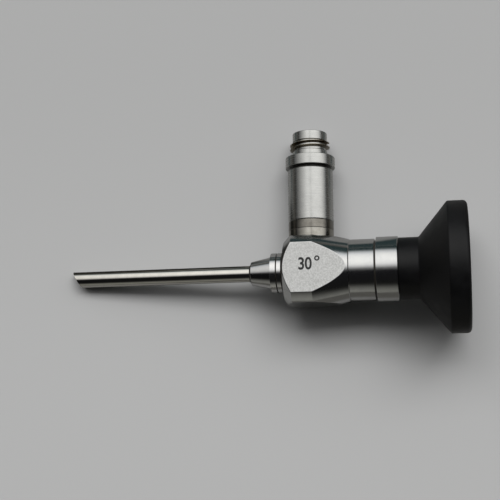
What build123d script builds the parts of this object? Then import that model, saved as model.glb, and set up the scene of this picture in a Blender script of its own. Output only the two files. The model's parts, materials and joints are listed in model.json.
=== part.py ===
from build123d import *
import os
from math import asin, atan2, cos, degrees, hypot, radians, sin, sqrt, tan

# Rigid endoscope with a 4 mm shaft that looks 30 degrees to the side, lying on a table.
# Bench axes: X is the optical axis and points to the eyepiece, Y is the axis of the light
# post, Z is the normal of the upper flat on the body. The two axes meet at the origin.
# Every piece is modelled there, and the last step lays the whole instrument down.
# Sizes are in millimetres and angles in degrees.

# Fits
slip = 0.02             # radial play of a piece in its bore
end_play = 0.03         # play along an axis where an end doesn't clamp
lead_in = 0.2           # small chamfer on the turned edges

# Shaft and the optics in it
shaft_radius = 2.0
sheath_wall = 0.15
shaft_length = 45.54    # from the nose to the long point of the tip
view_angle = 30.0       # between the tip's face and a square cut
optics_radius = 1.45
optics_wall = 0.1
window_thickness = 0.5
prism_length = 2.2
prism_side = 1.7
front_lens_length = 0.7
doublet_length = 1.6
air_gap = 0.12          # between one glass and the next
rod_count = 3
spacer_length = 2.4     # of the thin tubes between the rod lenses
rod_curve = 4.5         # radius of the rod lenses' ends
objective_curve = 3.0   # radius of the curved faces in the objective
optics_reach = 0.6      # of the optical tube into the barrel, past its front wall

# Nose, counted from the body's front face towards the tip
nose_ring_length = 0.89
nose_groove_length = 0.44
nose_collar_length = 1.47
nose_cone_length = 5.4
nose_collar_radius = 4.87
nose_groove_radius = 4.3
nose_root_radius = 4.0
nose_tip_radius = 2.9
nose_chamfer = 0.5
nose_spigot_radius = 3.6
nose_spigot_length = 2.9
sheath_spigot_length = 2.0  # of the thin spigot that the shaft slides over
sheath_spigot_wall = 0.1
gather_wall = 0.5       # of the rear spigot, where the fibres gather in it
gather_depth = 1.1      # of that hollow

# Body block: turned, then milled flat on four sides
block_front = 7.14      # front face to the post's axis
block_rear = 9.51       # rear face to the post's axis
block_radius = 9.88
block_boss_length = 0.74    # of the narrow boss in front of the cone
block_boss_radius = 4.3
block_front_radius = 7.64
block_chamfer = 2.12    # length of the front cone
block_drum = 5.05       # length of the cylinder behind it
block_end_radius = 7.65
flat_height = 7.8       # of the two large flats, from the optical axis
side_flat_height = 8.2  # of the two narrow flats, from the optical axis
chamber_radius = 4.5
seat_depth = 0.25       # the post's seat is cut into the narrow flat

# Light post, counted up its axis from the seat
post_radius = 5.55
post_foot_length = 2.14
post_ring_length = 2.13
sleeve_length = 13.11
undercut_length = 0.63
undercut_radius = 4.9
collar_length = 2.64
collar_radius = 6.12
neck_length = 1.6
neck_radius = 4.3
thread_length = 2.48
thread_root_radius = 4.0
thread_crest_radius = 4.93
thread_pitch = 1.0
thread_turns = 1.75
thread_foot_width = 0.84    # of the ridge where it meets the root
thread_crest_width = 0.1
tip_length = 2.23
tip_radius = 4.27
stem_radius = 4.0
stem_length = 9.9       # of the stem above the foot
light_rod_radius = 2.2
light_rod_recess = 0.2
post_spigot_radius = 3.6

# Fibre bundle
fibre_radius = 1.3
fibre_play = 0.15
gather_length = 2.2
ferrule_length = 6.0
ferrule_radius = 2.0

# Eyepiece, counted from the body's rear face
ring_1_length = 5.96
ring_1_wall = 1.31      # over the barrel's radius, as are the next three walls
ring_groove_length = 0.43
ring_groove_wall = 0.85
ring_2_length = 5.22
ring_2_wall = 1.69
ring_2_chamfer = 0.45
cup_neck_length = 4.46
cup_neck_wall = 1.32
cup_cone_length = 7.43
cup_rim_length = 5.69
cup_rim_radius = 15.88
cup_round = 1.5         # of the rim's rear edge
cup_lip = 0.35          # width of the flat lip inside that round
cup_depth = 8.5
cup_floor_wall = 0.7    # over the barrel's radius

# Ocular barrel and the pieces pushed into it from behind
barrel_radius = 6.2
barrel_front = 4.0      # front end to the post's axis
barrel_wall = 1.2
barrel_end_wall = 1.6
field_stop_place = 10.0
field_stop_length = 0.5
field_stop_radius = 1.4
stop_shoulder = 0.6     # width of the step that the field stop rests on
field_lens_length = 2.2
eye_lens_length = 3.5
lens_ring_length = 0.4
lens_gap = 2.3
lens_ring_width = 0.6
eye_window_length = 1.0
retainer_length = 0.8
retainer_width = 1.1
lens_curve = 14.0
eye_curve = 11.0

# Seals
seal_radius = 0.4       # half the width and half the height of a squeezed seal
seal_corner = 0.22      # bevel of its corners
barrel_seal_place = 3.0     # behind the body's rear face
adapter_seal_place = 3.0    # below the top of the stem

# Places worked out from the sizes above, along the optical axis
front_face = -block_front
ring_front = front_face - nose_ring_length
collar_rear = ring_front - nose_groove_length
collar_front = collar_rear - nose_collar_length
nose_front = collar_front - nose_cone_length
tip_point = nose_front - shaft_length
spigot_end = front_face + nose_spigot_length
gather_start = spigot_end - gather_depth
sheath_spigot_front = nose_front - sheath_spigot_length
ring_1_rear = block_rear + ring_1_length
ring_2_front = ring_1_rear + ring_groove_length
cup_front = ring_2_front + ring_2_length
cone_front = cup_front + cup_neck_length
rim_front = cone_front + cup_cone_length
cup_rear = rim_front + cup_rim_length
cup_floor = cup_rear - cup_depth
optics_end = barrel_front + barrel_end_wall + optics_reach
tip_axis = tip_point + shaft_radius * tan(radians(view_angle))

# Places up the post's axis
seat = side_flat_height - seat_depth
foot_top = seat + post_foot_length
sleeve_bottom = foot_top + post_ring_length
sleeve_top = sleeve_bottom + sleeve_length
collar_bottom = sleeve_top + undercut_length
collar_top = collar_bottom + collar_length
neck_top = collar_top + neck_length
thread_top = neck_top + thread_length
post_top = thread_top + tip_length
stem_top = foot_top + stem_length

# Bores, and the radii that follow the barrel's
sheath_bore = shaft_radius - sheath_wall
sheath_spigot_radius = sheath_bore - slip
nose_bore = sheath_spigot_radius - sheath_spigot_wall
optics_bore = optics_radius - optics_wall
barrel_bore = barrel_radius - barrel_wall
ring_1_radius = barrel_radius + ring_1_wall
ring_groove_radius = barrel_radius + ring_groove_wall
ring_2_radius = barrel_radius + ring_2_wall
cup_neck_radius = barrel_radius + cup_neck_wall
cup_floor_radius = barrel_radius + cup_floor_wall

# Where the fibres leave the optical tube's side and turn up into the post
fibre_side = optics_radius + fibre_radius + fibre_play
fibre_turn = -(gather_start + gather_length)
spigot_bottom = fibre_side + fibre_turn + end_play


def turned(outline):
    """A solid of revolution about X from corners given as (place, radius)."""
    return revolve(make_face(Polyline(*outline, close=True)), axis=Axis.X)


def turned_up(outline):
    """A solid of revolution about Y from corners given as (height, radius)."""
    corners = [(radius, height) for height, radius in outline]
    return revolve(make_face(Polyline(*corners, close=True)), axis=Axis.Y)


def tube(start, end, outer, inner=0.0):
    return turned([(start, inner), (end, inner), (end, outer), (start, outer)])


def tube_up(start, end, outer, inner=0.0):
    return turned_up([(start, inner), (end, inner), (end, outer), (start, outer)])


def tip_plane(depth=0.0):
    """The slanted face of the tip, moved back along the shaft. It looks away from the post."""
    slant = radians(view_angle)
    return Plane(origin=(tip_axis + depth, 0, 0), z_dir=(cos(slant), sin(slant), 0))


def behind_tip(solid, depth=0.0):
    return split(solid, bisect_by=tip_plane(depth), keep=Keep.TOP)


def sag(curve, radius):
    """How far a face of that curve stands back at that radius."""
    return abs(curve) - sqrt(curve * curve - radius * radius)


def lens_face(face, inward, curve, radius):
    """Half section of a lens face, from the axis to the rim."""
    if curve == 0:
        return Line((face, 0), (face, radius))
    points = []
    for height in (0, radius / 2, radius):
        back = sag(curve, height) if curve > 0 else sag(curve, radius) - sag(curve, height)
        points.append((face + inward * back, height))
    return ThreePointArc(*points)


def lens(start, end, radius, front_curve=0.0, rear_curve=0.0):
    """A round lens. A curve above zero bulges out, one below zero is hollow, zero is flat."""
    front = lens_face(start, 1, front_curve, radius)
    rear = lens_face(end, -1, rear_curve, radius)
    rim = Line(front @ 1, rear @ 1)
    axis = Line(rear @ 0, front @ 0)
    return revolve(make_face([front, rim, rear, axis]), axis=Axis.X)


# Where the glasses in the optical tube begin and end
prism_front = tip_axis + window_thickness + air_gap
prism_rear = prism_front + prism_length
front_lens_rear = prism_rear + air_gap + front_lens_length
doublet_rear = front_lens_rear + air_gap + doublet_length
train_start = doublet_rear + spacer_length / 2
rod_pitch = (optics_end - train_start + spacer_length) / rod_count
rod_length = rod_pitch - spacer_length


def outer_sheath():
    """Steel tube from the slanted tip to the nose, soldered over the nose's thin spigot."""
    return behind_tip(tube(tip_point, nose_front, shaft_radius, sheath_bore))


def optical_tube():
    """Thin inner tube that holds the window, the prism and the lenses in line."""
    return behind_tip(tube(tip_point, optics_end, optics_radius, optics_bore))


def distal_window():
    disc = behind_tip(tube(tip_point, prism_rear, optics_bore - slip))
    return disc - behind_tip(tube(tip_point, prism_rear, optics_radius), window_thickness)


def deflecting_prism():
    """Glass block with a slanted front that bends the view into the shaft."""
    length = prism_rear - tip_point
    block = Pos(prism_rear - length / 2, 0, 0) * Box(length, prism_side, prism_side)
    return behind_tip(block, window_thickness + air_gap)


def objective_front_lens():
    start = prism_rear + air_gap
    return lens(start, front_lens_rear, optics_bore - slip, rear_curve=-objective_curve)


def objective_doublet():
    start = front_lens_rear + air_gap
    return lens(start, doublet_rear, optics_bore - slip, front_curve=objective_curve)


def rod_lens(index):
    """Long glass rod with bulging ends that carries the picture one step along the shaft."""
    start = train_start + index * rod_pitch
    return lens(start, start + rod_length, optics_bore - slip, rod_curve, rod_curve)


def spacer_tube(index):
    """Thin tube that keeps two rod lenses apart."""
    start = train_start - spacer_length + index * rod_pitch
    if index == 0:
        start = doublet_rear
    end = train_start + index * rod_pitch
    overlap = sag(rod_curve, optics_bore - slip - optics_wall) - end_play
    front = start if index == 0 else start - overlap
    return tube(front, end + overlap, optics_bore - slip, optics_bore - slip - optics_wall)


def nose_cone():
    """Turned nose: thin spigot for the shaft, cone, collar and the spigot that screws in."""
    gather_bore = nose_spigot_radius - gather_wall
    outline = [
        (sheath_spigot_front, nose_bore),
        (sheath_spigot_front, sheath_spigot_radius),
        (nose_front, sheath_spigot_radius),
        (nose_front, shaft_radius),
        (nose_front + nose_chamfer, nose_tip_radius),
        (collar_front, nose_root_radius),
        (collar_front, nose_collar_radius - lead_in),
        (collar_front + lead_in, nose_collar_radius),
        (collar_rear - lead_in / 2, nose_collar_radius),
        (collar_rear, nose_collar_radius - lead_in / 2),
        (collar_rear, nose_groove_radius),
        (ring_front, nose_groove_radius),
        (ring_front, nose_spigot_radius),
        (spigot_end, nose_spigot_radius),
        (spigot_end, gather_bore),
        (gather_start, gather_bore),
        (gather_start, nose_bore),
    ]
    return turned(outline)


def nose_ring():
    """Lock ring between the nose and the body."""
    bore = nose_spigot_radius + slip
    edge = lead_in / 2
    outline = [
        (ring_front, bore),
        (ring_front, nose_collar_radius - edge),
        (ring_front + edge, nose_collar_radius),
        (front_face - edge, nose_collar_radius),
        (front_face, nose_collar_radius - edge),
        (front_face, bore),
    ]
    return turned(outline)


def body_block():
    """Turned block with four milled flats. On the cones the flats end in curved points."""
    cone_start = front_face + block_boss_length
    drum_start = cone_start + block_chamfer
    drum_end = drum_start + block_drum
    outline = [
        (front_face, 0),
        (front_face, block_boss_radius),
        (cone_start, block_boss_radius),
        (cone_start, block_front_radius),
        (drum_start, block_radius),
        (drum_end, block_radius),
        (block_rear - lead_in, block_end_radius),
        (block_rear, block_end_radius - lead_in),
        (block_rear, 0),
    ]
    length = 2 * (block_front + block_rear)
    flats = Box(length, 2 * side_flat_height, 2 * flat_height)
    block = turned(outline) & flats
    block -= tube(front_face, spigot_end, nose_spigot_radius + slip)
    block -= tube(spigot_end, barrel_front, chamber_radius)
    block -= tube(barrel_front, block_rear, barrel_radius + slip)
    block -= tube_up(0, block_radius, post_spigot_radius + slip)
    block -= tube_up(seat, block_radius, post_radius + slip)
    return block


def post_foot():
    """Foot and stem of the light post, with a groove for the adapter's seal."""
    groove = seal_radius * 2
    groove_middle = stem_top - adapter_seal_place
    bore = fibre_radius + fibre_play
    ferrule_bore = ferrule_radius + slip
    ferrule_bottom = stem_top - ferrule_length
    outline = [
        (spigot_bottom, bore),
        (spigot_bottom, post_spigot_radius),
        (seat, post_spigot_radius),
        (seat, post_radius),
        (foot_top - lead_in / 2, post_radius),
        (foot_top, post_radius - lead_in / 2),
        (foot_top, stem_radius),
        (groove_middle - groove / 2, stem_radius),
        (groove_middle - groove / 2, stem_radius - groove),
        (groove_middle + groove / 2, stem_radius - groove),
        (groove_middle + groove / 2, stem_radius),
        (stem_top, stem_radius),
        (stem_top, ferrule_bore),
        (ferrule_bottom, ferrule_bore),
        (ferrule_bottom, bore),
    ]
    return turned_up(outline)


def post_ring():
    """Lock ring that seats the adapter sleeve on the stem."""
    bore = stem_radius + slip
    edge = lead_in / 2
    outline = [
        (foot_top, bore),
        (foot_top, post_radius - edge),
        (foot_top + edge, post_radius),
        (sleeve_bottom - edge, post_radius),
        (sleeve_bottom, post_radius - edge),
        (sleeve_bottom, bore),
    ]
    return turned_up(outline)


def adapter_sleeve():
    """Plain sleeve, the first of the two screw-on adapters for light cables."""
    bore = stem_radius + slip
    outline = [
        (sleeve_bottom, bore),
        (sleeve_bottom, post_radius - lead_in / 2),
        (sleeve_bottom + lead_in / 2, post_radius),
        (sleeve_top - lead_in, post_radius),
        (sleeve_top, post_radius - lead_in),
        (sleeve_top, bore),
    ]
    return turned_up(outline)


def thread_ridge():
    """One and three quarter turns of a coarse V thread on the cable adapter."""
    height = thread_turns * thread_pitch
    start = neck_top + (thread_length - height) / 2
    path = Helix(pitch=thread_pitch, height=height, radius=thread_root_radius,
                 center=(0, start, 0), direction=(0, 1, 0))
    foot = path @ 0
    outward = Vector(foot.X, 0, foot.Z).normalized()
    root = -lead_in
    crest = thread_crest_radius - thread_root_radius
    half = thread_foot_width / 2
    crest_half = thread_crest_width / 2
    profile = make_face(Polyline((root, -half), (crest, -crest_half), (crest, crest_half),
                                 (root, half), close=True))
    section = Plane(origin=foot, x_dir=outward, z_dir=path % 0) * profile
    return sweep(section, path=path, is_frenet=True)


def cable_adapter():
    """Second adapter: spigot, collar, neck, coarse thread and the plain tip that a cable grips."""
    bore = light_rod_radius + slip
    outline = [
        (stem_top + end_play, bore),
        (stem_top + end_play, stem_radius),
        (sleeve_top, stem_radius),
        (sleeve_top, undercut_radius),
        (collar_bottom, undercut_radius),
        (collar_bottom, collar_radius - 2 * lead_in),
        (collar_bottom + 2 * lead_in, collar_radius),
        (collar_top, collar_radius),
        (collar_top, neck_radius),
        (neck_top, neck_radius),
        (neck_top, thread_root_radius),
        (thread_top, thread_root_radius),
        (thread_top, tip_radius),
        (post_top - lead_in, tip_radius),
        (post_top, tip_radius - lead_in),
        (post_top, bore),
    ]
    return turned_up(outline) + thread_ridge()


def light_rod():
    """Glass rod that carries the light from the cable to the fibres."""
    return tube_up(stem_top + end_play, post_top - light_rod_recess, light_rod_radius)


def fibre_ferrule():
    """Sleeve that binds the polished end of the fibres in the stem."""
    return tube_up(stem_top - ferrule_length, stem_top, ferrule_radius, fibre_radius + slip)


def fibre_bundle():
    """Light fibres: a ring round the optical tube, gathered and bent up into the post."""
    inner = optics_radius + slip
    outer = nose_bore - slip
    ring = behind_tip(tube(tip_point, sheath_spigot_front - end_play, sheath_bore - slip, inner))
    ring += tube(sheath_spigot_front - end_play, gather_start, outer, inner)
    first = Plane(origin=(gather_start, 0, 0), x_dir=(0, 1, 0), z_dir=(1, 0, 0)) * Circle(outer)
    last_place = Plane(origin=(-fibre_turn, fibre_side, 0), x_dir=(0, 1, 0), z_dir=(1, 0, 0))
    last = last_place * Circle(fibre_radius)
    gather = loft([first, last]) - tube(gather_start, optics_end, inner)
    centre = (-fibre_turn, fibre_side + fibre_turn, 0)
    elbow = revolve(last, axis=Axis(centre, (0, 0, 1)), revolution_arc=90)
    rise = tube_up(fibre_side + fibre_turn, stem_top, fibre_radius)
    return ring + gather + elbow + rise


def ocular_barrel():
    """Tube that holds the ocular lenses. The body, both rings and the eyecup sit on it."""
    groove = seal_radius * 2
    groove_middle = block_rear + barrel_seal_place
    front_bore = optics_radius + slip
    stop_bore = barrel_bore - stop_shoulder
    outline = [
        (barrel_front, front_bore),
        (barrel_front, barrel_radius),
        (groove_middle - groove / 2, barrel_radius),
        (groove_middle - groove / 2, barrel_radius - groove),
        (groove_middle + groove / 2, barrel_radius - groove),
        (groove_middle + groove / 2, barrel_radius),
        (cup_floor, barrel_radius),
        (cup_floor, barrel_bore),
        (field_stop_place, barrel_bore),
        (field_stop_place, stop_bore),
        (barrel_front + barrel_end_wall, stop_bore),
        (barrel_front + barrel_end_wall, front_bore),
    ]
    return turned(outline)


def eyepiece_ring_1():
    """Plain clamp ring behind the body, stepped down where the lock ring meets it."""
    bore = barrel_radius + slip
    edge = lead_in / 2
    outline = [
        (block_rear, bore),
        (block_rear, ring_1_radius - edge),
        (block_rear + edge, ring_1_radius),
        (ring_1_rear - edge, ring_1_radius),
        (ring_1_rear, ring_1_radius - edge),
        (ring_1_rear, ring_groove_radius),
        (ring_2_front, ring_groove_radius),
        (ring_2_front, bore),
    ]
    return turned(outline)


def eyepiece_ring_2():
    """Lock ring in front of the eyecup, with a broad bright chamfer at its rear."""
    bore = barrel_radius + slip
    edge = lead_in / 2
    outline = [
        (ring_2_front, bore),
        (ring_2_front, ring_2_radius - edge),
        (ring_2_front + edge, ring_2_radius),
        (cup_front - ring_2_chamfer, ring_2_radius),
        (cup_front, ring_2_radius - ring_2_chamfer),
        (cup_front, bore),
    ]
    return turned(outline)


def eyecup():
    """Black funnel that the eye or a camera coupler rests on."""
    bore = barrel_radius + slip
    lip_radius = cup_rim_radius - cup_round - cup_lip
    outer = Polyline(
        (cup_floor, bore),
        (cup_front, bore),
        (cup_front, cup_neck_radius),
        (cone_front, cup_neck_radius),
        (rim_front, cup_rim_radius),
        (cup_rear - cup_round, cup_rim_radius),
    )
    edge = RadiusArc((cup_rear - cup_round, cup_rim_radius),
                     (cup_rear, cup_rim_radius - cup_round), cup_round)
    inner = Polyline(
        (cup_rear, cup_rim_radius - cup_round),
        (cup_rear, lip_radius),
        (cup_floor, cup_floor_radius),
        (cup_floor, bore),
    )
    return revolve(make_face([outer, edge, inner]), axis=Axis.X)


def field_stop():
    """Thin blackened disc whose hole gives the picture its round edge."""
    return tube(field_stop_place, field_stop_place + field_stop_length,
                barrel_bore - slip, field_stop_radius)


# Where the ocular pieces lie, counted back from the floor of the eyecup
retainer_front = cup_floor - retainer_length
eye_window_front = retainer_front - eye_window_length
eye_lens_rear = eye_window_front - lens_ring_length
eye_lens_front = eye_lens_rear - eye_lens_length
field_lens_rear = eye_lens_front - lens_gap
field_lens_front = field_lens_rear - field_lens_length


def stop_spacer():
    """Long spacer between the field stop and the field lens."""
    bore = barrel_bore - slip
    return tube(field_stop_place + field_stop_length, field_lens_front, bore, bore - lens_ring_width)


def field_lens():
    return lens(field_lens_front, field_lens_rear, barrel_bore - slip, rear_curve=lens_curve)


def lens_spacer():
    """Spacer between the two ocular lenses, cut to meet their curved rims."""
    bore = barrel_bore - slip
    inner = bore - lens_ring_width
    start = field_lens_rear - sag(lens_curve, inner) + end_play
    end = eye_lens_front + sag(eye_curve, inner) - end_play
    return tube(start, end, bore, inner)


def eye_lens():
    return lens(eye_lens_front, eye_lens_rear, barrel_bore - slip, front_curve=eye_curve)


def lens_ring():
    bore = barrel_bore - slip
    return tube(eye_lens_rear, eye_window_front, bore, bore - lens_ring_width)


def eyepiece_window():
    return tube(eye_window_front, retainer_front, barrel_bore - slip)


def window_retainer():
    """Screwed ring that holds the window down, flush with the floor of the eyecup."""
    bore = barrel_bore - slip
    return tube(retainer_front, cup_floor, bore, bore - retainer_width)


def seal_ring(place, radius, turn):
    """Rubber ring squeezed flat between its groove and the bore over it."""
    half = seal_radius - slip
    flat = half - seal_corner
    middle = radius - seal_radius
    outline = []
    for along, out in ((flat, half), (half, flat), (half, -flat), (flat, -half)):
        outline.append((place + along, middle + out))
    for along, out in ((-flat, -half), (-half, -flat), (-half, flat), (-flat, half)):
        outline.append((place + along, middle + out))
    return turn(outline)


def resting_place():
    """How the instrument lies: on the shaft's tip, the eyecup's rim and the adapter's collar.

    Gives the pitch of the optical axis, the droop of the post and the height of the origin.
    Each pass works out one of the three contacts from the others, and they soon settle.
    """
    passes = 60
    slant = tan(radians(view_angle))
    pitch, droop, height = radians(9), radians(10), cup_rim_radius
    for _ in range(passes):
        across = sin(pitch) * slant + cos(pitch) * sin(droop)
        reach = hypot(across, cos(pitch) * cos(droop)) * shaft_radius
        pitch = atan2(cup_rim_radius - reach / cos(pitch), rim_front - tip_axis)
        height = cup_rim_radius * cos(pitch) - rim_front * sin(pitch)
        lean = sin(droop) * cos(pitch)
        drop = height - collar_radius * sqrt(1 - lean * lean)
        droop = asin(drop / (collar_top * cos(pitch)))
    return degrees(pitch), degrees(droop), height


def rest_location(solids):
    """Lays the bench frame down and puts the origin at the middle of the footprint."""
    pitch, droop, height = resting_place()
    laid = Pos(0, 0, height) * Rot(Y=-pitch) * Rot(X=-droop)
    box = Compound(children=[laid * solid for solid in solids]).bounding_box()
    middle = box.center()
    return Pos(-middle.X, -middle.Y, -box.min.Z) * laid


def all_pieces():
    pieces = {
        "outer_sheath": outer_sheath(),
        "optical_tube": optical_tube(),
        "distal_window": distal_window(),
        "deflecting_prism": deflecting_prism(),
        "objective_front_lens": objective_front_lens(),
        "objective_doublet": objective_doublet(),
        "fibre_bundle": fibre_bundle(),
        "nose_cone": nose_cone(),
        "nose_ring": nose_ring(),
        "body_block": body_block(),
        "post_foot": post_foot(),
        "post_ring": post_ring(),
        "fibre_ferrule": fibre_ferrule(),
        "adapter_sleeve": adapter_sleeve(),
        "adapter_seal": seal_ring(stem_top - adapter_seal_place, stem_radius, turned_up),
        "cable_adapter": cable_adapter(),
        "light_rod": light_rod(),
        "eyepiece_ring_1": eyepiece_ring_1(),
        "eyepiece_ring_2": eyepiece_ring_2(),
        "ocular_barrel": ocular_barrel(),
        "barrel_seal": seal_ring(block_rear + barrel_seal_place, barrel_radius, turned),
        "field_stop": field_stop(),
        "stop_spacer": stop_spacer(),
        "field_lens": field_lens(),
        "lens_spacer": lens_spacer(),
        "eye_lens": eye_lens(),
        "lens_ring": lens_ring(),
        "eyepiece_window": eyepiece_window(),
        "window_retainer": window_retainer(),
        "eyecup": eyecup(),
    }
    for index in range(rod_count):
        pieces[f"rod_lens_{index + 1}"] = rod_lens(index)
        pieces[f"spacer_tube_{index + 1}"] = spacer_tube(index)
    return pieces


bench = all_pieces()
rest = rest_location(bench.values())
os.makedirs("parts", exist_ok=True)
for name, solid in bench.items():
    export_step(rest * solid, f"parts/{name}.step")
print("pitch, droop and height at rest:", resting_place())
print("rod lenses are", round(rod_length, 2), "mm long")
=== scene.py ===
# %% [markdown]
# # A rigid endoscope on a pale table
# The instrument is a short steel telescope for looking into narrow places. The solids come from
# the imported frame. This script dresses them: the turned steel pieces and the black eyecup are
# modelled again with fine edges. The pieces inside are hardly seen, so they keep their solids and
# only get a finish.

# %% Load the frame
import json
from math import cos, pi, radians, sin, tan

import bpy
from mathutils import Matrix, Vector


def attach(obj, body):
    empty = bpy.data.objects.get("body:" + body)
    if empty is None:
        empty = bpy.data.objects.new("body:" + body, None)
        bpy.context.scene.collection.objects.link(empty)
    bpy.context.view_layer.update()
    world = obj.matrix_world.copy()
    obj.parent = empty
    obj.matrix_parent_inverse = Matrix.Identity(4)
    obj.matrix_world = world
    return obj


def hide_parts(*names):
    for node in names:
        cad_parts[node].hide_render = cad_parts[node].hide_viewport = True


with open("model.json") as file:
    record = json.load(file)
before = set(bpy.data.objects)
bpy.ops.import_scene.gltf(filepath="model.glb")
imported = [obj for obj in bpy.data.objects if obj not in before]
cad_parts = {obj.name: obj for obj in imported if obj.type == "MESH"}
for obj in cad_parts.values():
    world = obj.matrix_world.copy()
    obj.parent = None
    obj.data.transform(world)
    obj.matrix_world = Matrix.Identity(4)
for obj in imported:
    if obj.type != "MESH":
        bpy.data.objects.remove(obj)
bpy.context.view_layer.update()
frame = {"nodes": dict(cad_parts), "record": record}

print("the frame holds", len(frame["nodes"]), "nodes")

# %% [markdown]
# ## The bench frame
# The real pieces were turned on a lathe, so they are easiest to draw round two straight axes: X
# along the optics, Y up the light post. On the table both lean, and outlines drawn leaning would
# be hard to read and to check. So each piece is drawn upright in bench millimetres. The record's
# mounts give the two axes, and one matrix lays the piece down where the frame has it.

# %% Work out the bench frame from the mounts
mounts = {mount["name"]: mount for mount in frame["record"]["mounts"]}
along = Vector(mounts["eyecup_rim"]["axis"]).normalized()
post = Vector(mounts["light_post_tip"]["axis"]).normalized()
upper = along.cross(post)
on_axis = Vector(mounts["eyecup_rim"]["pos_m"])
on_post = Vector(mounts["light_post_tip"]["pos_m"])
crossing = on_axis + (on_post - on_axis).dot(along) * along
turn_to_row = Matrix((along, post, upper)).transposed()
millimetre = 0.001
lay_down = Matrix.Translation(crossing) @ turn_to_row.to_4x4() @ Matrix.Scale(millimetre, 4)
print("the axes cross at", [round(value, 5) for value in crossing])

# %% [markdown]
# ## Camera
# The photograph looks almost straight down on the table from 274 mm, with a lens of 77.5 mm on a
# 36 mm sensor. The camera is made first, so that every test picture has the right view. It is
# placed from the crossing of the axes, because that point is easy to find in the photograph.

# %% Make the camera
sensor_width = 36.0
picture_width = 500
focal_pixels = 1076.42
camera_offset = Vector((-8.24, -0.30, 263.5))     # from the crossing of the axes, millimetres
camera_roll, camera_tip, camera_lean = 0.0358, -0.0235, -0.0255
nearest_seen = 0.01

bpy.ops.object.camera_add(location=crossing + camera_offset * millimetre)
camera = bpy.context.object
camera.name = "camera"
camera.data.sensor_width = sensor_width
camera.data.lens = focal_pixels / picture_width * sensor_width
camera.data.clip_start = nearest_seen
look = (Matrix.Rotation(camera_roll, 3, "Z") @ Matrix.Rotation(camera_tip, 3, "X")
        @ Matrix.Rotation(camera_lean, 3, "Y"))
camera.rotation_euler = look.transposed().to_euler()
bpy.context.scene.camera = camera
print("lens", round(camera.data.lens, 2))

# %% [markdown]
# ## Room
# Polished steel shows its surroundings more than itself, so the room is painted as the steel sees
# it. Panels could be built and hung round the table, but each would need its own soft edge. Two
# colour ramps are simpler: one over the angle from straight up, one from side to side. They give
# a wide light panel over the side that the light post points to, black above the camera, grey low
# down in front, and dark green low down behind.

# %% Measure where a ray goes in the room


def node(tree, kind, **settings):
    """Add a node and set its properties."""
    made = tree.nodes.new(kind)
    for key, value in settings.items():
        setattr(made, key, value)
    return made


def maths(tree, operation, first, second=None):
    """One Math node. An input is a socket or a number."""
    made = node(tree, "ShaderNodeMath", operation=operation)
    for socket, value in zip(made.inputs, (first, second)):
        if isinstance(value, (int, float)):
            socket.default_value = value
        elif value is not None:
            tree.links.new(value, socket)
    return made.outputs[0]


bpy.context.scene.view_settings.view_transform = "Standard"
world = bpy.data.worlds.new("room")
bpy.context.scene.world = world
world.use_nodes = True
room = world.node_tree
look_out = node(room, "ShaderNodeTexCoord")
parts = node(room, "ShaderNodeSeparateXYZ")
room.links.new(look_out.outputs["Generated"], parts.inputs[0])
side, behind, up = parts.outputs["X"], parts.outputs["Y"], parts.outputs["Z"]
leaning = maths(room, "ARCTAN2", behind, up)     # 0 straight up, a quarter turn at the horizon
panel_twist = radians(30)       # the panel's far edge is higher on the eyepiece's side
twist = maths(room, "MULTIPLY", maths(room, "MULTIPLY", behind, behind), side)
twisted = maths(room, "ADD", leaning, maths(room, "MULTIPLY", twist, panel_twist))
lean_place = maths(room, "ADD", maths(room, "MULTIPLY", twisted, 0.5 / pi), 0.5)
side_place = maths(room, "ADD", maths(room, "MULTIPLY", side, 0.5), 0.5)
print("the room is measured with", len(room.nodes), "nodes")

# %% Choose the room's colours
room_colours = (        # the angle from straight up, and the colour there
    (-86, (0.178, 0.178, 0.163)),
    (-72, (0.102, 0.102, 0.094)),
    (-60, (0.025, 0.025, 0.023)),
    (-52, (0.007, 0.007, 0.007)),
    (-2, (0.007, 0.007, 0.008)),
    (6, (0.12, 0.12, 0.12)),
    (13.7, (0.50, 0.50, 0.50)),
    (21.5, (0.80, 0.80, 0.79)),
    (33, (0.93, 0.93, 0.91)),
    (44, (0.93, 0.93, 0.91)),
    (55, (0.82, 0.82, 0.81)),
    (62, (0.66, 0.67, 0.68)),
    (69, (0.42, 0.44, 0.45)),
    (74.5, (0.12, 0.14, 0.14)),
    (79, (0.018, 0.032, 0.033)),
    (94, (0.016, 0.030, 0.031)),
)
panel_widths = (        # how far to the side, from -1 to 1, and how bright the panel still is
    (-0.98, 0.04), (-0.92, 0.14), (-0.84, 0.25), (-0.74, 0.42), (-0.60, 0.60), (-0.46, 0.80),
    (-0.32, 1.0), (-0.10, 1.0), (-0.02, 0.62), (0.06, 1.0), (0.52, 1.0), (0.67, 0.94),
    (0.79, 0.83), (0.89, 0.58), (0.95, 0.36), (0.985, 0.16), (0.999, 0.05),
)
over_stops = [(angle / 360 + 0.5, colour) for angle, colour in room_colours]
across_stops = [(where / 2 + 0.5, (value,) * 3) for where, value in panel_widths]
print("the room has", len(over_stops), "colours and", len(across_stops), "widths")

# %% Paint the room


def colour_ramp(tree, place, stops):
    """A ramp of colours over a value from 0 to 1."""
    ramp = node(tree, "ShaderNodeValToRGB")
    while len(ramp.color_ramp.elements) < len(stops):
        ramp.color_ramp.elements.new(0.5)
    for element, (where, colour) in zip(ramp.color_ramp.elements, stops):
        element.position = where
        element.color = (*colour, 1)
    tree.links.new(place, ramp.inputs["Fac"])
    return ramp.outputs["Color"]


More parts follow.
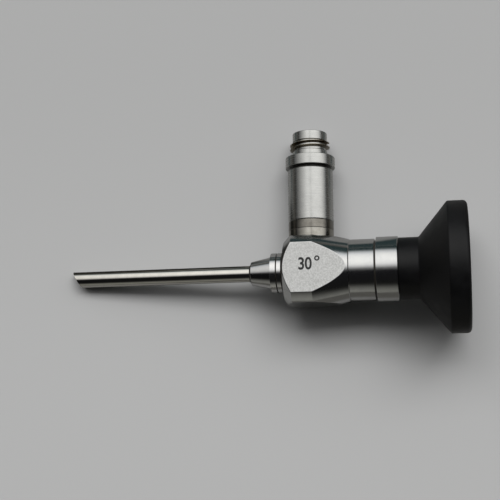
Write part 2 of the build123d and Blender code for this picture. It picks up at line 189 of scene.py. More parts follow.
def mixed(tree, factor, first, second, blend="MIX"):
    """Mix two colours. A colour is a socket or three numbers."""
    mix = node(tree, "ShaderNodeMix", data_type="RGBA", blend_type=blend)
    if isinstance(factor, (int, float)):
        mix.inputs["Factor"].default_value = factor
    else:
        tree.links.new(factor, mix.inputs["Factor"])
    for socket, colour in ((mix.inputs[6], first), (mix.inputs[7], second)):
        if isinstance(colour, tuple):
            socket.default_value = (*colour, 1)
        else:
            tree.links.new(colour, socket)
    return mix.outputs[2]


panel_brightness = 1.6
backdrop_grey = (0.30, 0.30, 0.30)      # what the camera sees past the table's edge
over = colour_ramp(room, lean_place, over_stops)
across = colour_ramp(room, side_place, across_stops)
walls = mixed(room, 1.0, over, across, "MULTIPLY")
seen = node(room, "ShaderNodeLightPath")
sky = room.nodes["Background"]
sky_colour = mixed(room, seen.outputs["Is Camera Ray"], walls, backdrop_grey)
room.links.new(sky_colour, sky.inputs["Color"])
sky.inputs["Strength"].default_value = panel_brightness
print("the room is painted, at strength", panel_brightness)

# %% [markdown]
# ## Lamp
# In the photograph the shadows fall softly towards the lower edge, so the light comes from a
# large lamp behind the light post. A sun lamp would give one hard edge. A rectangle of light has
# a soft edge whose width can be set each way. The steel doesn't mirror the lamp, because the
# painted panel already stands for it.

# %% Hang the lamp
lamp_angle, lamp_swing = radians(33.5), radians(2)      # behind and to the right of straight up
lamp_distance = 3.0
lamp_reach = (radians(26), radians(11.5))       # half of what it spans along X and across
lamp_power = 92.0
lamp_turn = Matrix.Rotation(lamp_swing, 3, "Y") @ Matrix.Rotation(-lamp_angle, 3, "X")
lamp_place = lamp_turn @ Vector((0, 0, lamp_distance))
bpy.ops.object.light_add(type="AREA", location=lamp_place, rotation=lamp_turn.to_euler())
lamp = bpy.context.object
lamp.name = "lamp"
lamp.data.shape = "RECTANGLE"
lamp.data.size, lamp.data.size_y = (2 * lamp_distance * tan(reach) for reach in lamp_reach)
lamp.data.energy = lamp_power
lamp.visible_camera = False
lamp.visible_glossy = False
print("the lamp is", round(lamp.data.size, 2), "by", round(lamp.data.size_y, 2), "m")

# %% [markdown]
# ## Table
# The instrument lies on a pale matt table, and one large plane is enough for its shape. Its tone
# takes more care, because the steel mirrors the table close by, where the pieces shade it. One
# tone for all would make the lower sides of the steel too bright. So the table has two: what the
# camera sees, with a painted shade that darkens it towards the light post's side, and, chosen by
# place, a darker tone for what the steel mirrors, with painted shade and painted reflections of
# a dark room.

# %% Lay the table


def new_material(name):
    """A fresh material with its node tree and its shader."""
    material = bpy.data.materials.new(name)
    material.use_nodes = True
    tree = material.node_tree
    return material, tree, tree.nodes["Principled BSDF"]


table_size = 6.0
bpy.ops.mesh.primitive_plane_add(size=table_size, location=(0, 0, 0))
table = bpy.context.object
table.name = "table"
paper, paper_tree, paper_shader = new_material("table_paper")
paper_place = node(paper_tree, "ShaderNodeTexCoord")
paper_parts = node(paper_tree, "ShaderNodeSeparateXYZ")
paper_tree.links.new(paper_place.outputs["Object"], paper_parts.inputs[0])
floor_x, floor_y = paper_parts.outputs["X"], paper_parts.outputs["Y"]
print("the table is", table_size, "m wide")

# %% Mark places on the table


def fade(tree, value, start, end):
    """A smooth step from 0 at start to 1 at end."""
    step = node(tree, "ShaderNodeMapRange", interpolation_type="SMOOTHSTEP")
    low, high = min(start, end), max(start, end)
    step.inputs["From Min"].default_value = low
    step.inputs["From Max"].default_value = high
    step.inputs["To Min"].default_value = 0.0 if start < end else 1.0
    step.inputs["To Max"].default_value = 1.0 if start < end else 0.0
    tree.links.new(value, step.inputs["Value"])
    return step.outputs["Result"]


def zone(*limits):
    """Where all of some limits hold. A limit is a value, where it starts and where it is full."""
    whole = fade(paper_tree, *limits[0])
    for limit in limits[1:]:
        whole = maths(paper_tree, "MULTIPLY", whole, fade(paper_tree, *limit))
    return whole


post_middle, post_shift = 0.0107, 0.022     # metres: the light post stands out this far
sideways = maths(paper_tree, "ABSOLUTE", maths(paper_tree, "SUBTRACT", floor_x, post_middle))
by_the_post = zone((sideways, 0.024, 0.012))
shifted = maths(paper_tree, "MULTIPLY", by_the_post, post_shift)
from_body = maths(paper_tree, "SUBTRACT", floor_y, shifted)
behind_it = zone((from_body, 0.004, 0.020), (sideways, 0.036, 0.022))
beside_it = zone((sideways, 0.022, 0.060), (floor_y, -0.015, -0.004))
behind_shaft = zone((floor_x, -0.002, -0.010), (floor_y, -0.009, -0.003), (floor_y, 0.014, 0.008))
before_it = zone((floor_y, -0.030, -0.055))
far_side = zone((floor_y, -0.06, 0.06))
print("the table has", len(paper_tree.nodes), "nodes so far")

# %% Colour the table
# For the camera, the table is painted darker towards +Y, the side the light post points to: a
# painted fall-off of the light.
near_paper, far_paper_painted_shade = (0.392, 0.392, 0.392), (0.352, 0.352, 0.352)
painted_reflection_tones = (      # a place on the table, and the darker tone the steel sees there: painted shade and painted reflections of a dark room
    (before_it, (0.105, 0.102, 0.094)),
    (beside_it, (0.080, 0.076, 0.068)),
    (behind_shaft, (0.020, 0.020, 0.018)),
    (behind_it, (0.022, 0.040, 0.042)),
)
# The steel sees the table darker than the camera does, a painted reflection tone, and darker still
# at the places above.
painted_reflection_paper = (0.225, 0.225, 0.22)
for there, colour in painted_reflection_tones:
    painted_reflection_paper = mixed(paper_tree, there, painted_reflection_paper, colour)
camera_paper_painted_falloff = mixed(paper_tree, far_side, near_paper, far_paper_painted_shade)
paper_seen = node(paper_tree, "ShaderNodeLightPath")
paper_colour = mixed(paper_tree, paper_seen.outputs["Is Glossy Ray"], camera_paper_painted_falloff, painted_reflection_paper)
paper_tree.links.new(paper_colour, paper_shader.inputs["Base Color"])
paper_shader.inputs["Roughness"].default_value = 0.9
paper_shader.inputs["Specular IOR Level"].default_value = 0.1
table.data.materials.append(paper)
print("the steel mirrors", 1 + len(painted_reflection_tones), "tones of the table")

# %% [markdown]
# ## Finishes
# Turning leaves fine rings on steel, all round the axis of the piece. Painted pictures of such
# rings would need each piece unrolled. Here each finish is worked out from the place on the bench,
# in millimetres: colour and bump change quickly along the axis and hardly at all round it, so the
# marks run round the right axis by themselves.

# %% Find a point's place on the bench


def bench_place(tree):
    """The place of a point in bench millimetres."""
    source = node(tree, "ShaderNodeTexCoord")
    mapping = node(tree, "ShaderNodeMapping")
    back_turn = turn_to_row.transposed()
    mapping.inputs["Scale"].default_value = (1 / millimetre,) * 3
    mapping.inputs["Rotation"].default_value = back_turn.to_euler()
    mapping.inputs["Location"].default_value = -(back_turn @ crossing) / millimetre
    tree.links.new(source.outputs["Object"], mapping.inputs["Vector"])
    return mapping.outputs["Vector"]


print("a metre is", round(1 / millimetre), "on the bench")

# %% Grain from noise
even = (1.0, 1.0, 1.0)      # no stretch


def grain(tree, place, scale, size, detail=3.0):
    """Noise on a place stretched by a scale for each bench axis, as one value about 0.5."""
    stretch = node(tree, "ShaderNodeMapping")
    stretch.inputs["Scale"].default_value = scale
    tree.links.new(place, stretch.inputs["Vector"])
    noise = node(tree, "ShaderNodeTexNoise")
    noise.inputs["Scale"].default_value = size
    noise.inputs["Detail"].default_value = detail
    tree.links.new(stretch.outputs["Vector"], noise.inputs["Vector"])
    return noise.outputs["Fac"]


def ranged(tree, value, low, high, start=0.3, end=0.7):
    """Map a noise value to a range."""
    span = node(tree, "ShaderNodeMapRange")
    span.inputs["From Min"].default_value = start
    span.inputs["From Max"].default_value = end
    span.inputs["To Min"].default_value = low
    span.inputs["To Max"].default_value = high
    tree.links.new(value, span.inputs["Value"])
    return span.outputs["Result"]


def bumped(tree, shader, value, strength, depth):
    """Give the shader a bump from a value, with a depth in metres."""
    bump = node(tree, "ShaderNodeBump")
    bump.inputs["Strength"].default_value = strength
    bump.inputs["Distance"].default_value = depth
    tree.links.new(value, bump.inputs["Height"])
    tree.links.new(bump.outputs["Normal"], shader.inputs["Normal"])


# %% Turned steel
ring_depth = 0.00002        # metres
round_stretch = 0.03        # how little the grain changes round the axis


def turned_steel(name, axis, colour, tint, rough, rings, bump):
    """Steel off a lathe: fine rings round one axis, faint smears and a little colour."""
    material, tree, shader = new_material(name)
    place = bench_place(tree)
    across = (1.0, round_stretch, round_stretch)
    if axis == "Y":
        across = (round_stretch, 1.0, round_stretch)
    fine = grain(tree, place, across, rings)
    smear = grain(tree, place, (0.5, 0.5, 0.5), 1.2, 5.0)
    smeared = mixed(tree, ranged(tree, smear, 0, 1), colour, tint)
    shader.inputs["Metallic"].default_value = 1.0
    tree.links.new(smeared, shader.inputs["Base Color"])
    tree.links.new(ranged(tree, fine, rough * 0.75, rough * 1.35), shader.inputs["Roughness"])
    bumped(tree, shader, fine, bump, ring_depth)
    print(name, "has", len(tree.nodes), "nodes")
    return material


shaft_steel = turned_steel("shaft_steel", "X", (0.56, 0.54, 0.50), (0.50, 0.485, 0.45),
                           rough=0.09, rings=3.0, bump=0.05)
nose_steel = turned_steel("nose_steel", "X", (0.64, 0.63, 0.62), (0.57, 0.57, 0.57),
                          rough=0.12, rings=12.0, bump=0.15)
ring_steel = turned_steel("ring_steel", "X", (0.57, 0.57, 0.56), (0.53, 0.53, 0.53),
                          rough=0.14, rings=14.0, bump=0.15)
body_steel = turned_steel("body_steel", "X", (0.57, 0.57, 0.56), (0.53, 0.53, 0.53),
                          rough=0.14, rings=10.0, bump=0.12)
post_steel = turned_steel("post_steel", "Y", (0.40, 0.385, 0.35), (0.30, 0.285, 0.255),
                          rough=0.14, rings=10.0, bump=0.3)
lock_steel = turned_steel("lock_steel", "Y", (0.26, 0.245, 0.22), (0.18, 0.17, 0.15),
                          rough=0.17, rings=10.0, bump=0.4)
adapter_steel = turned_steel("adapter_steel", "Y", (0.51, 0.51, 0.495), (0.46, 0.46, 0.45),
                             rough=0.22, rings=8.0, bump=0.08)
thread_steel = turned_steel("thread_steel", "Y", (0.30, 0.27, 0.21), (0.17, 0.14, 0.10),
                            rough=0.26, rings=8.0, bump=0.3)

# %% [markdown]
# ## Blasted steel and black plastic
# The milled flats were blasted with fine beads, which leaves an even grain and a soft sheen. The
# eyecup is a matt black moulding, a little polished where fingers hold it. A flat grey and a flat
# black would look like paint, so both get a fine grain for the surface and a broad, faint one for
# wear.

# %% Blasted flats
grain_depth = 0.00003       # metres


def satin_steel(name):
    """A milled flat that was blasted with fine beads: even grain and a soft sheen."""
    material, tree, shader = new_material(name)
    place = bench_place(tree)
    fine = grain(tree, place, even, 3.4, 4.0)
    soft = grain(tree, place, even, 0.5, 3.0)
    speckle = ranged(tree, fine, 0, 1)
    blasted = mixed(tree, speckle, (0.40, 0.40, 0.39), (0.61, 0.61, 0.60))
    handled = mixed(tree, speckle, (0.44, 0.44, 0.43), (0.66, 0.66, 0.65))
    sheen = mixed(tree, ranged(tree, soft, 0, 1), blasted, handled)
    shader.inputs["Metallic"].default_value = 0.55
    tree.links.new(sheen, shader.inputs["Base Color"])
    tree.links.new(ranged(tree, soft, 0.44, 0.54), shader.inputs["Roughness"])
    bumped(tree, shader, fine, 0.5, grain_depth)
    return material


flat_steel = satin_steel("flat_steel")
print("the flats have the finish", flat_steel.name)

# %% Black plastic


def black_plastic(name):
    """Matt black moulding with a fine grain and a faint polish from handling."""
    material, tree, shader = new_material(name)
    place = bench_place(tree)
    fine = grain(tree, place, even, 6.0, 5.0)
    worn = grain(tree, place, even, 0.35, 4.0)
    deep, rubbed = (0.0018, 0.0018, 0.0020), (0.0036, 0.0036, 0.0040)
    black = mixed(tree, ranged(tree, worn, 0, 1), deep, rubbed)
    tree.links.new(black, shader.inputs["Base Color"])
    tree.links.new(ranged(tree, worn, 0.40, 0.52), shader.inputs["Roughness"])
    shader.inputs["Specular IOR Level"].default_value = 0.29
    bumped(tree, shader, fine, 0.25, grain_depth)
    return material


cup_black = black_plastic("cup_black")
print("the eyecup has the finish", cup_black.name)

# %% A plain finish, first for the painted shade in narrow grooves


def plain_finish(name, colour, rough, metal=0.0):
    """A simple grained finish for what is hardly seen."""
    material, tree, shader = new_material(name)
    place = bench_place(tree)
    fine = grain(tree, place, even, 4.0, 4.0)
    darker = tuple(part * 0.85 for part in colour)
    grained = mixed(tree, ranged(tree, fine, 0, 1), darker, colour)
    tree.links.new(grained, shader.inputs["Base Color"])
    tree.links.new(ranged(tree, fine, rough * 0.85, rough * 1.15), shader.inputs["Roughness"])
    shader.inputs["Metallic"].default_value = metal
    return material


# A dark finish for painted shade in narrow grooves, which lie in their own shade.
groove_painted_shade = plain_finish("groove_painted_shade", (0.030, 0.027, 0.022), 0.45)
print("the grooves have the finish", groove_painted_shade.name)

# %% [markdown]
# ## Turning pieces
# Most pieces are turned. A Screw modifier could spin their outline too, but extrusions keep each
# corner in sight: a ring of points is extruded along the outline and made wider or narrower at
# each corner, as a lathe tool would follow it. The outline comes back to its start, so the last
# ring is merged with the first and the piece is closed, bore and all.

# %% A lathe made of extrusions
round_steps = 192
merge_gap = 0.0005


def turn(name, outline, axis="X", steps=round_steps):
    """Turn a closed outline of (place, radius) corners round a bench axis."""
    bpy.ops.object.select_all(action="DESELECT")
    first_place, first_radius = outline[0]
    line = Vector((1, 0, 0)) if axis == "X" else Vector((0, 1, 0))
    tilt = (0, pi / 2, 0) if axis == "X" else (pi / 2, 0, 0)
    bpy.ops.mesh.primitive_circle_add(vertices=steps, radius=first_radius,
                                      location=line * first_place, rotation=tilt)
    piece = bpy.context.object
    piece.name = name
    bpy.ops.object.transform_apply(location=True, rotation=True, scale=True)
    bpy.ops.object.mode_set(mode="EDIT")
    bpy.ops.mesh.select_mode(type="VERT")
    bpy.ops.mesh.select_all(action="SELECT")
    corners = list(outline) + [outline[0]]
    for (place, radius), (next_place, next_radius) in zip(corners, corners[1:]):
        step = line * (next_place - place)
        grow = next_radius / radius
        widen = [1.0 if part else grow for part in line]
        bpy.ops.mesh.extrude_region_move(TRANSFORM_OT_translate={"value": step})
        bpy.ops.transform.resize(value=widen, center_override=line * next_place)
    bpy.ops.mesh.select_all(action="SELECT")
    bpy.ops.mesh.remove_doubles(threshold=merge_gap)
    bpy.ops.mesh.normals_make_consistent(inside=False)
    bpy.ops.object.mode_set(mode="OBJECT")
    return piece


print("turned pieces have", round_steps, "steps round")

# %% [markdown]
# ## Edges
# No real edge is quite sharp: it is broken a little, and catches a thin line of light. A bevel
# gives that line. Smooth shading would then tint the long faces beside it from end to end, so
# weighted normals let the large faces set the shading.

# %% Break the edges of a piece
flat_angle = 35     # degrees: faces that meet at less are shaded as one


def pick(piece):
    """Select one piece and nothing else."""
    bpy.ops.object.select_all(action="DESELECT")
    piece.select_set(True)
    bpy.context.view_layer.objects.active = piece


def finish(piece, width=0.0, segments=3, sharp=30, smooth=flat_angle):
    """Break the edges with a small bevel, shade smoothly, and let large faces set the shading."""
    pick(piece)
    if width:
        bevel = piece.modifiers.new("edges", "BEVEL")
        bevel.width = width
        bevel.segments = segments
        bevel.limit_method = "ANGLE"
        bevel.angle_limit = radians(sharp)
        bpy.ops.object.modifier_apply(modifier=bevel.name)
    bpy.ops.object.shade_smooth_by_angle(angle=radians(smooth))
    evened = piece.modifiers.new("even", "WEIGHTED_NORMAL")
    evened.keep_sharp = True
    bpy.ops.object.modifier_apply(modifier=evened.name)


print("faces that meet at less than", flat_angle, "degrees are shaded as one")

# %% Lay a piece down on the table


def install(piece, material, slot, *nodes):
    """Lay a finished piece down on the table and let it stand for its nodes."""
    if material:
        piece.data.materials.append(material)
    piece.matrix_world = lay_down
    pick(piece)
    bpy.ops.object.transform_apply(location=True, rotation=True, scale=True)
    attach(piece, "root")
    if nodes:
        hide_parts(*nodes)
    print(piece.name, len(piece.data.polygons), "faces")


# %% [markdown]
# ## Shaft
# The shaft is a drawn steel tube, ground and polished, with its end cut at 30 degrees. Moving the
# points of the end ring would slant it too, but would squeeze the wall. So the tube is turned a
# little too long and then cut with a bisect, as the real one was. The cut leaves two open loops,
# outside and bore. A bridge between them closes the wall, always with the same faces, which the
# bisect's own fill doesn't promise for a ring.

# %% Turn the shaft and cut its tip
tip_point, nose_front = -60.88, -15.34      # places on bench X, millimetres
shaft_radius, sheath_bore = 2.0, 1.85
view_angle = radians(30)
spare_length = 0.5
tip_axis = tip_point + shaft_radius * tan(view_angle)
sheath = turn("sheath", [
    (tip_point - spare_length, sheath_bore), (tip_point - spare_length, shaft_radius),
    (nose_front, shaft_radius), (nose_front, sheath_bore)])
bpy.ops.object.mode_set(mode="EDIT")
bpy.ops.mesh.select_all(action="SELECT")
bpy.ops.mesh.bisect(plane_co=(tip_axis, 0, 0), plane_no=(-1, -tan(view_angle), 0),
                    clear_outer=True)
bpy.ops.mesh.select_all(action="DESELECT")
bpy.ops.mesh.select_mode(type="EDGE")
bpy.ops.mesh.select_non_manifold(extend=False, use_verts=False)
bpy.ops.mesh.bridge_edge_loops()
bpy.ops.mesh.select_all(action="SELECT")
bpy.ops.mesh.normals_make_consistent(inside=False)
bpy.ops.object.mode_set(mode="OBJECT")
print("the cut sheath has", len(sheath.data.polygons), "faces")
finish(sheath, width=0.04, segments=2)
install(sheath, shaft_steel, "shaft_steel", "outer_sheath")

# %% [markdown]
# ## Nose
# The nose joins the thin shaft to the body: a slim cone, a collar, a groove, and a spigot at each
# end. A lock ring sits between collar and body. The two are separate turned pieces on the real
# one, so they are here too, and the joint between them is a true gap. The groove and the solder
# line at the shaft lie in shade, so a dark finish paints that shade on them.

# %% Darken a groove
free_margin, seam_margin = 0.1, 0.02    # how far a dark zone passes a free end, or clears a seam


def darken(piece, low, high, radius, axis="X"):
    """Paint shade into a groove of a turned piece with the dark finish, since it lies in its own
    shade.
    """
    if groove_painted_shade.name not in piece.data.materials:
        piece.data.materials.append(groove_painted_shade)
    dark_slot = piece.data.materials.find(groove_painted_shade.name)
    darkened = 0
    for face in piece.data.polygons:
        at = face.center
        place, out = (at.x, at.yz.length) if axis == "X" else (at.y, at.xz.length)
        if low < place < high and out < radius:
            face.material_index = dark_slot
            darkened += 1
    print(piece.name, "has", darkened, "faces in shade")


# %% Turn the nose
collar_front, collar_rear, ring_front, front_face = -9.84, -8.45, -8.20, -7.14
cone_thin, cone_thick, collar_radius, groove_radius = 2.9, 4.0, 4.87, 4.3
front_spigot, nose_bore, spigot_reach = 1.83, 1.73, 2.0
rear_spigot, spigot_end = 3.6, -4.24
wide_bore, wide_bore_start = 3.1, -5.34
solder_length = 0.5
shaded_solder, solder_radius, groove_margin = 0.42, 3.0, 0.2
nose = turn("nose", [
    (nose_front, front_spigot), (nose_front, shaft_radius),
    (nose_front + solder_length, cone_thin), (collar_front, cone_thick),
    (collar_front, collar_radius), (collar_rear, collar_radius),
    (collar_rear, groove_radius), (ring_front, groove_radius),
    (ring_front, rear_spigot), (spigot_end, rear_spigot),
    (spigot_end, wide_bore), (wide_bore_start, wide_bore),
    (wide_bore_start, nose_bore), (nose_front - spigot_reach, nose_bore),
    (nose_front - spigot_reach, front_spigot)])
finish(nose, width=0.06)
nose.data.materials.append(nose_steel)
# Painted shade: the groove behind the collar and the solder line get the dark finish.
darken(nose, low=collar_rear, high=ring_front, radius=groove_radius + groove_margin)
darken(nose, low=nose_front - free_margin, high=nose_front + shaded_solder,
       radius=solder_radius)
install(nose, None, "nose_steel", "nose_cone")

# %% Turn the nose's lock ring
slip = 0.02     # play between a pin and its bore
nose_ring = turn("nose_lock_ring", [
    (ring_front, rear_spigot + slip), (ring_front, collar_radius),
    (front_face, collar_radius), (front_face, rear_spigot + slip)])
finish(nose_ring, width=0.07)
install(nose_ring, nose_steel, "nose_steel", "nose_ring")

# %% [markdown]
# ## Body
# The body is turned with a narrow boss and a steep cone in front, a short drum and a long cone
# behind. Four flats are then milled. Their curved outlines could be drawn by hand, but a box that
# cuts the cones gives them by itself, and makes the marked flat a shield as on the real one.

# %% Turn the body
cone_start, drum_start, drum_end, block_rear = -6.40, -4.28, 0.77, 9.51
boss_radius, block_front_radius, drum_radius, block_rear_radius = 4.3, 7.64, 9.88, 7.65
rear_chamfer = 0.2
barrel_bore, barrel_bore_start, fibre_room = 6.22, 4.0, 4.5
body_steps = 320
body = turn("body", [
    (front_face, rear_spigot + slip), (front_face, boss_radius), (cone_start, boss_radius),
    (cone_start, block_front_radius), (drum_start, drum_radius), (drum_end, drum_radius),
    (block_rear - rear_chamfer, block_rear_radius),
    (block_rear, block_rear_radius - rear_chamfer), (block_rear, barrel_bore),
    (barrel_bore_start, barrel_bore), (barrel_bore_start, fibre_room),
    (spigot_end, fibre_room), (spigot_end, rear_spigot + slip)], steps=body_steps)
print("turned body", len(body.data.polygons), "faces")

# %% Mill the flats
flat_height, side_flat_height = 7.8, 8.2
mill_length = 40


def cut_with(piece, tool, way):
    """Cut a piece with a tool body, which is then thrown away."""
    pick(tool)
    bpy.ops.object.transform_apply(location=True, rotation=True, scale=True)
    pick(piece)
    cut = piece.modifiers.new("cut", "BOOLEAN")
    cut.object = tool
    cut.operation = way
    bpy.ops.object.modifier_apply(modifier=cut.name)
    bpy.data.objects.remove(tool)


bpy.ops.mesh.primitive_cube_add(size=1)
mill = bpy.context.object
mill.scale = (mill_length, 2 * side_flat_height, 2 * flat_height)
cut_with(body, mill, "INTERSECT")
print("milled body", len(body.data.polygons), "faces")

# %% Sink the seat of the light post
seat, spigot_floor = 7.95, 4.0      # places on bench Y, millimetres
post_radius, post_spigot = 5.55, 3.6
drill_length, drill_steps = 10.0, 128
for radius, bottom in ((post_radius + slip, seat), (post_spigot + slip, spigot_floor)):
    bpy.ops.mesh.primitive_cylinder_add(
        vertices=drill_steps, radius=radius, depth=drill_length,
        location=(0, bottom + drill_length / 2, 0), rotation=(pi / 2, 0, 0))
    cut_with(body, bpy.context.object, "DIFFERENCE")
print("bored body", len(body.data.polygons), "faces")

# %% Break the edges of the flats
straight = 0.9999       # a normal this close to an axis belongs to a milled face
outside = flat_height - 0.1     # the flat faces of the bores lie further in
flat_edge = 0.10


def on_flat(face):
    """True for a milled face: its normal lies along Y or Z and it is outside the bores."""
    normal = face.normal
    square = abs(normal.y) > straight or abs(normal.z) > straight
    return square and max(abs(face.center.y), abs(face.center.z)) > outside


pick(body)
bpy.ops.object.mode_set(mode="EDIT")
bpy.ops.mesh.select_mode(type="FACE")
bpy.ops.mesh.select_all(action="DESELECT")
bpy.ops.object.mode_set(mode="OBJECT")
for face in body.data.polygons:
    face.select = on_flat(face)
bpy.ops.object.mode_set(mode="EDIT")
bpy.ops.mesh.region_to_loop()
bpy.ops.mesh.bevel(offset=flat_edge, segments=2, affect="EDGES")
bpy.ops.object.mode_set(mode="OBJECT")
print("bevelled body", len(body.data.polygons), "faces")

# %% Dress the body
body.data.materials.append(body_steel)
body.data.materials.append(flat_steel)
for face in body.data.polygons:
    face.material_index = 1 if on_flat(face) and abs(face.normal.z) > straight else 0
# Painted shade: the narrow boss in front of the body gets the dark finish.
darken(body, low=front_face - free_margin, high=cone_start - seam_margin,
       radius=boss_radius + free_margin)
finish(body, smooth=12)     # less than the flats make with the cones, so their edges stay crisp
install(body, None, "body_steel", "body_block")

# %% [markdown]
# ## Viewing angle
# The flat carries the viewing angle as a thin black mark: two digits and a degree sign. It could
# be a stain in the finish, but thin raised shapes keep crisp edges from close by. The digits come
# from a text object, and a flattened torus makes the sign. A text leaves its faces and its sides
# unjoined, so its points are merged.

# %% Mark the digits
mark_black = plain_finish("mark_black", (0.012, 0.012, 0.012), 0.5)
mark_thickness = 0.012
left, bottom, right, top = -2.33, -0.76, 0.90, 2.30      # the digits' box on the flat
stroke_gain, digit_spacing, digit_depth = 0.022, 0.96, 0.1
bpy.ops.object.select_all(action="DESELECT")
bpy.ops.object.text_add()
digits = bpy.context.object
digits.name = "angle_digits"
digits.data.body = "30"
digits.data.offset = stroke_gain
digits.data.space_character = digit_spacing
digits.data.extrude = digit_depth
bpy.ops.object.convert(target="MESH")
bpy.ops.object.mode_set(mode="EDIT")
bpy.ops.mesh.select_all(action="SELECT")
bpy.ops.mesh.remove_doubles(threshold=merge_gap)
bpy.ops.mesh.normals_make_consistent(inside=False)
bpy.ops.object.mode_set(mode="OBJECT")
low = [min(corner.co[axis] for corner in digits.data.vertices) for axis in range(3)]
high = [max(corner.co[axis] for corner in digits.data.vertices) for axis in range(3)]
digits.scale = ((right - left) / (high[0] - low[0]), (top - bottom) / (high[1] - low[1]),
                mark_thickness / (high[2] - low[2]))
digits.location = (left - low[0] * digits.scale[0], bottom - low[1] * digits.scale[1],
                   flat_height + mark_thickness / 2)
bpy.ops.object.transform_apply(location=True, rotation=True, scale=True)
install(digits, mark_black, "black_metal")

# %% Mark the degree sign
degree_place, degree_radius, degree_line = (2.13, 1.95), 0.475, 0.17
bpy.ops.mesh.primitive_torus_add(major_radius=degree_radius, minor_radius=degree_line,
                                 major_segments=64, minor_segments=16,
                                 location=(*degree_place, flat_height))
degree = bpy.context.object
degree.name = "degree_sign"
degree.scale = (1, 1, mark_thickness / degree_line)
bpy.ops.object.transform_apply(location=True, rotation=True, scale=True)
bpy.ops.object.shade_smooth()
install(degree, mark_black, "black_metal")

# %% [markdown]
# ## Light post
# Light enters the instrument through a post at the side. On its foot sit a lock ring and a plain
# sleeve. One long outline would show no joints, so each is turned by itself, with its own broken
# edges and its own finish.

# %% Turn the foot, the lock ring and the sleeve
foot_bottom, foot_top, sleeve_bottom, sleeve_top, stem_top = 6.1, 10.09, 12.22, 25.33, 19.99
stem_radius, fibre_bore = 4.0, 1.45
foot = turn("light_post_foot", [
    (foot_bottom, fibre_bore), (foot_bottom, post_spigot), (seat, post_spigot),
    (seat, post_radius), (foot_top, post_radius), (foot_top, stem_radius),
    (stem_top, stem_radius), (stem_top, fibre_bore)], "Y")
finish(foot, width=0.08)
install(foot, post_steel, "post_steel", "post_foot")
lock = turn("post_lock_ring", [
    (foot_top, stem_radius + slip), (foot_top, post_radius),
    (sleeve_bottom, post_radius), (sleeve_bottom, stem_radius + slip)], "Y")
finish(lock, width=0.10)
install(lock, lock_steel, "post_steel", "post_ring")
sleeve = turn("cable_sleeve", [
    (sleeve_bottom, stem_radius + slip), (sleeve_bottom, post_radius),
    (sleeve_top, post_radius), (sleeve_top, stem_radius + slip)], "Y")
finish(sleeve, width=0.22)
install(sleeve, adapter_steel, "adapter_steel", "adapter_sleeve")

# %% [markdown]
# ## Cable adapter
# The second adapter has a collar, a neck and a coarse thread below the plain tip that a light
# cable grips. Rings round the neck would pass for a thread from afar, but a real one climbs. So a
# ridge is drawn as one cross-section and wound up with a Screw modifier, closed at both ends, and
# joined to the turned piece.

# %% Turn the cable adapter
collar_bottom, collar_top, neck_top, thread_top, post_top = 25.96, 28.60, 30.20, 32.68, 34.89
rod_bore, gap_radius, adapter_collar, neck_radius, tip_radius = 2.22, 4.9, 6.12, 4.3, 4.27
adapter_foot = stem_top + 0.03      # it stops just short of the stem
adapter = turn("threaded_adapter", [
    (adapter_foot, rod_bore), (adapter_foot, stem_radius), (sleeve_top, stem_radius),
    (sleeve_top, gap_radius), (collar_bottom, gap_radius),
    (collar_bottom, adapter_collar), (collar_top, adapter_collar),
    (collar_top, neck_radius), (neck_top, neck_radius),
    (neck_top, stem_radius), (thread_top, stem_radius),
    (thread_top, tip_radius), (post_top, tip_radius), (post_top, rod_bore)], "Y")
finish(adapter, width=0.12)
print("turned adapter", len(adapter.data.polygons), "faces")

# %% Draw the cross-section of the thread's ridge
thread_root, thread_crest = 3.8, 4.93
thread_foot, thread_edge = 0.84, 0.10       # widths of the ridge
thread_start = 30.565
thread_middle = (thread_root + thread_crest) / 2
bpy.ops.object.select_all(action="DESELECT")
bpy.ops.mesh.primitive_plane_add(size=1, rotation=(0, pi / 2, 0))
thread = bpy.context.object
thread.name = "thread"
thread.location = (0, thread_start, -thread_middle)
thread.scale = (thread_crest - thread_root, thread_foot, 1)
bpy.ops.object.transform_apply(location=True, rotation=True, scale=True)
for corner in thread.data.vertices:
    corner.select = corner.co.z < -thread_middle
for edge in thread.data.edges:
    edge.select = all(thread.data.vertices[end].select for end in edge.vertices)
for face in thread.data.polygons:
    face.select = False
bpy.ops.object.mode_set(mode="EDIT")
bpy.ops.transform.resize(value=(1, thread_edge / thread_foot, 1),
                         center_override=(0, thread_start, 0))
bpy.ops.mesh.select_all(action="SELECT")
bpy.ops.mesh.delete(type="ONLY_FACE")
bpy.ops.object.mode_set(mode="OBJECT")
print("the ridge has", len(thread.data.edges), "edges")

# %% Wind the thread
thread_pitch, thread_turns, thread_steps = 1.0, 1.75, 224
screw = thread.modifiers.new("screw", "SCREW")
screw.axis = "Y"
screw.angle = 2 * pi * thread_turns
screw.screw_offset = thread_pitch * thread_turns
screw.steps = screw.render_steps = thread_steps
bpy.ops.object.modifier_apply(modifier=screw.name)
bpy.ops.object.mode_set(mode="EDIT")
bpy.ops.mesh.select_all(action="SELECT")
bpy.ops.mesh.fill_holes(sides=4)
bpy.ops.mesh.select_all(action="SELECT")
bpy.ops.mesh.normals_make_consistent(inside=False)
bpy.ops.object.mode_set(mode="OBJECT")
finish(thread)
quarter = thread_start + thread_pitch / 4
crest = [corner.co for corner in thread.data.vertices if corner.co.xz.length > thread_middle]
nearest = min(crest, key=lambda point: abs(point.y - quarter))
print("a quarter turn on, the crest is at x", round(nearest.x, 2))

# %% Join the thread to the adapter
thread.data.materials.append(thread_steel)
adapter.data.materials.append(adapter_steel)
gap_margin, gap_depth = 0.05, 0.4
# Painted shade: the gap under the adapter's collar gets the dark finish.
darken(adapter, low=sleeve_top - gap_margin, high=collar_bottom + gap_margin,
       radius=gap_radius + gap_depth, axis="Y")
pick(adapter)
thread.select_set(True)
bpy.ops.object.join()
install(adapter, None, "adapter_steel", "cable_adapter")

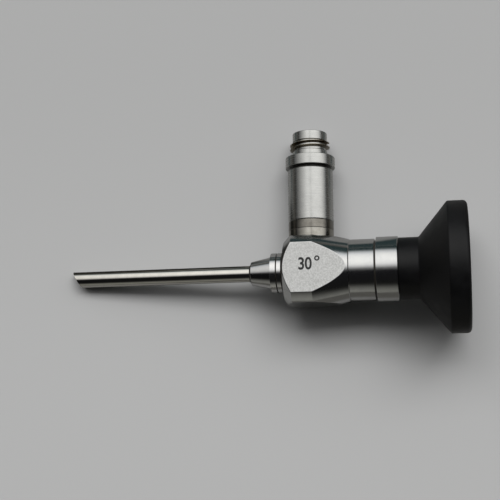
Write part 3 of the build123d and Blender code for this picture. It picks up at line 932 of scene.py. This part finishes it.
# %% [markdown]
# ## Eyepiece rings
# Two steel rings clamp the eyecup to the body. They differ a little in radius, and a shallow
# groove parts them. Each is turned by itself, because the thin line between two pieces is what
# the eye looks for on such an instrument.

# %% Turn the rings
ring_1_rear, ring_2_front, cup_front = 15.47, 15.90, 21.12
ring_1_radius, ring_1_neck, ring_2_radius = 7.51, 7.05, 7.89
ring_2_chamfer, neck_margin = 0.14, 0.25
clamp = turn("clamp_ring", [
    (block_rear, barrel_bore), (block_rear, ring_1_radius), (ring_1_rear, ring_1_radius),
    (ring_1_rear, ring_1_neck), (ring_2_front, ring_1_neck), (ring_2_front, barrel_bore)])
finish(clamp, width=0.06)
clamp.data.materials.append(ring_steel)
# Painted shade: the groove between the two rings gets the dark finish.
darken(clamp, low=ring_1_rear + seam_margin, high=ring_2_front,
       radius=ring_1_neck + neck_margin)
install(clamp, None, "ring_steel", "eyepiece_ring_1")
lock_2 = turn("eyepiece_lock_ring", [
    (ring_2_front, barrel_bore), (ring_2_front, ring_2_radius),
    (cup_front - ring_2_chamfer, ring_2_radius), (cup_front, ring_2_radius - ring_2_chamfer),
    (cup_front, barrel_bore)])
finish(lock_2, width=0.06)
install(lock_2, ring_steel, "ring_steel", "eyepiece_ring_2")

# %% [markdown]
# ## Eyecup
# The cup is a black funnel with a flat floor round the window and a thick rim. The rim's rear edge
# is round. A wide bevel could round it, but would round the front edge as well, so the round is
# drawn in the outline, as an arc of short steps. The photograph shows the rim a little shorter
# than the solid has it, so the cup ends 0.95 mm before the node does.

# %% Turn the cup
cone_front, rim_front, cup_rear, cup_floor = 26.03, 33.01, 37.75, 30.20
cup_neck, cup_floor_radius = 7.52, 6.9
rim_radius, rim_round, lip = 15.88, 1.1, 0.35
rim_steps = 8
arc_place, arc_radius = cup_rear - rim_round, rim_radius - rim_round
quarter_turns = [step / rim_steps * pi / 2 for step in range(rim_steps + 1)]
rim_edge = [(arc_place + rim_round * sin(turned), arc_radius + rim_round * cos(turned))
            for turned in quarter_turns]
cup = turn("black_cup", [
    (cup_floor, barrel_bore), (cup_front, barrel_bore), (cup_front, cup_neck),
    (cone_front, cup_neck), (rim_front, rim_radius), *rim_edge,
    (cup_rear, arc_radius - lip), (cup_floor, cup_floor_radius)])
finish(cup, width=0.25, segments=4)
install(cup, cup_black, "cup_plastic", "eyecup")

# %% [markdown]
# ## Pieces inside
# The glasses, spacers and fibres lie inside, and only the ends of the instrument show a few of
# them. Their solids have the right shape, so they stay, and each gets the finish of its kind.

# %% Choose a finish for each material


def coated_glass(name):
    """Clear glass with the faint tint of a coating."""
    material, tree, shader = new_material(name)
    place = bench_place(tree)
    haze = grain(tree, place, even, 0.6, 2.0)
    tint, clear = (0.93, 0.96, 0.97), (0.97, 0.98, 0.99)
    coating = mixed(tree, ranged(tree, haze, 0, 1), tint, clear)
    tree.links.new(coating, shader.inputs["Base Color"])
    shader.inputs["Roughness"].default_value = 0.02
    shader.inputs["IOR"].default_value = 1.6
    shader.inputs["Transmission Weight"].default_value = 1.0
    return material


finishes = {
    "lens_glass": coated_glass("coated_glass"),
    "fibre_glass": plain_finish("fibre_ends", (0.62, 0.56, 0.40), 0.35),
    "black_metal": plain_finish("blackened", (0.012, 0.012, 0.012), 0.5, 0.3),
    "seal_rubber": plain_finish("seal_black", (0.02, 0.02, 0.02), 0.6),
    "ferrule_brass": plain_finish("ferrule_gold", (0.70, 0.55, 0.28), 0.25, 1.0),
    "inner_steel": plain_finish("inner_tube", (0.55, 0.55, 0.54), 0.25, 1.0),
    "shaft_steel": shaft_steel, "nose_steel": nose_steel, "ring_steel": ring_steel,
    "body_steel": body_steel, "post_steel": post_steel, "adapter_steel": adapter_steel,
    "cup_plastic": cup_black,
}
print("there are", len(finishes), "finishes")

# %% Finish the solids
slots = {part["node"]: part["material_slot"] for part in frame["record"]["subparts"]}
for name, cad in frame["nodes"].items():
    cad.data.materials.clear()
    cad.data.materials.append(finishes[slots[name]])
print(len(slots), "solids have their finish")
